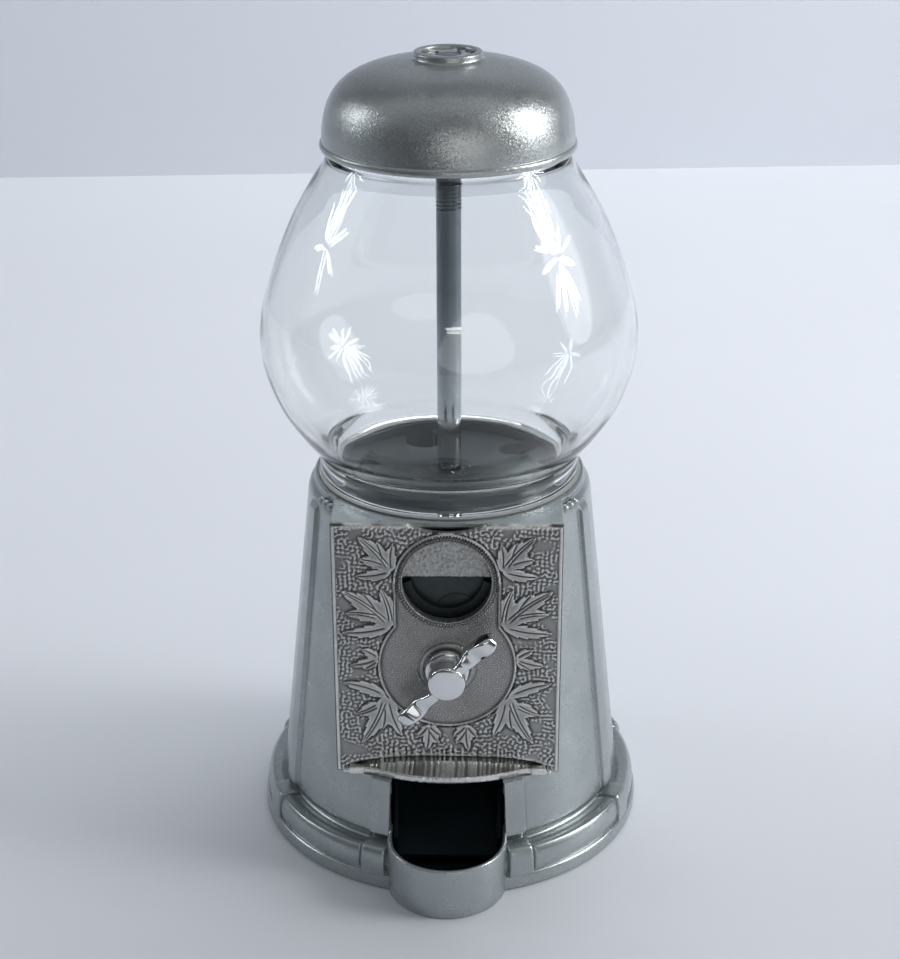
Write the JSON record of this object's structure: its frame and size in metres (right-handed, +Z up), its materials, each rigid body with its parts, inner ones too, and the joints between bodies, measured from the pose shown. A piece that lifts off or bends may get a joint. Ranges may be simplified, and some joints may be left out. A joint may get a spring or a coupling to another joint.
{
  "type": "gumball machine",
  "caption": "Tabletop gumball machine with a clear globe on a flared round column, a flat ornamental coin plate with a thumb-turn handle, and an open cup at the foot.",
  "frame": {"origin": "on the column's axis at the level of the floor it stands on", "axes": "+Z up, -Y is the front with the coin plate, handle and cup, +X is to the viewer's right as seen from the front"},
  "size_m": [0.139, 0.1523, 0.2794],
  "materials": {
    "body_paint": "satin silver-grey paint",
    "lid_paint": "sparkling dark silver paint, grainy",
    "plate_nickel": "antiqued nickel plate, dark in the recesses",
    "guard_cast": "rough cast",
    "handle_chrome": "polished chrome",
    "rod_chrome": "polished chrome",
    "clear_glass": "clear, smooth",
    "hopper_dark": "dark grey, satin",
    "wheel_black": "near-black, satin",
    "chute_black": "near-black",
    "zinc": "zinc-plated sheet",
    "steel": "turned steel",
    "carrier_dark": "dark cast zinc",
    "gear": "machined",
    "gasket": "pale translucent"
  },
  "bodies": {
    "base": {"base_body": "body_paint", "bottom_cover": "zinc", "foot_washer": "zinc", "foot_nut": "steel", "rod": "rod_chrome", "hopper_cup": "hopper_dark", "wheel_cover": "hopper_dark", "chute_tray": "chute_black", "front_plate": "plate_nickel", "coin_guard": "guard_cast", "frame_plate": "zinc", "coin_guides": "zinc", "frame_screws": "steel", "rear_bracket": "zinc", "pawl_post": "steel", "pawl_spring": "steel", "globe_gasket": "gasket", "drop_tube": "chute_black"},
    "handle": {"handle": "handle_chrome", "handle_collar": "handle_chrome", "shaft": "steel", "coin_carrier": "carrier_dark", "ratchet_wheel": "carrier_dark", "drive_pinion": "gear", "shaft_clip": "steel"},
    "wheel": {"dispensing_wheel": "wheel_black", "hub_sleeve": "wheel_black", "crown_gear": "gear"},
    "pawl": {"pawl": "steel"},
    "globe": {"glass_globe": "clear_glass"},
    "lid": {"lid": "lid_paint"},
    "lid_nut": {"lid_nut": "handle_chrome"}
  },
  "joints": [
    {"name": "handle_turn", "type": "hinge", "parent": "base", "child": "handle", "pos_m": [0, -0.05, 0.08], "axis": [0, 1, 0], "continuous": true},
    {"name": "wheel_turn", "type": "hinge", "parent": "base", "child": "wheel", "pos_m": [0, 0, 0.12], "axis": [0, 0, 1], "continuous": true},
    {"name": "ratchet_pawl", "type": "hinge", "parent": "base", "child": "pawl", "pos_m": [-0.024, -0.0392, 0.088], "axis": [0, -1, 0], "range_deg": [0, 8], "stiffness_Nm_per_rad": 0.002, "springref_deg": -5.73},
    {"name": "globe_lift", "type": "slide", "parent": "base", "child": "globe", "axis": [0, 0, 1], "range_m": [0, 0.16]},
    {"name": "lid_lift", "type": "slide", "parent": "globe", "child": "lid", "axis": [0, 0, 1], "range_m": [0, 0.06]},
    {"name": "lid_nut_turn", "type": "hinge", "parent": "lid", "child": "lid_nut", "pos_m": [0, 0, 0.2766], "axis": [0, 0, 1], "continuous": true}
  ],
  "couplings": [
    {"joint": "wheel_turn", "follows": "handle_turn", "ratio": 0.2}
  ]
}
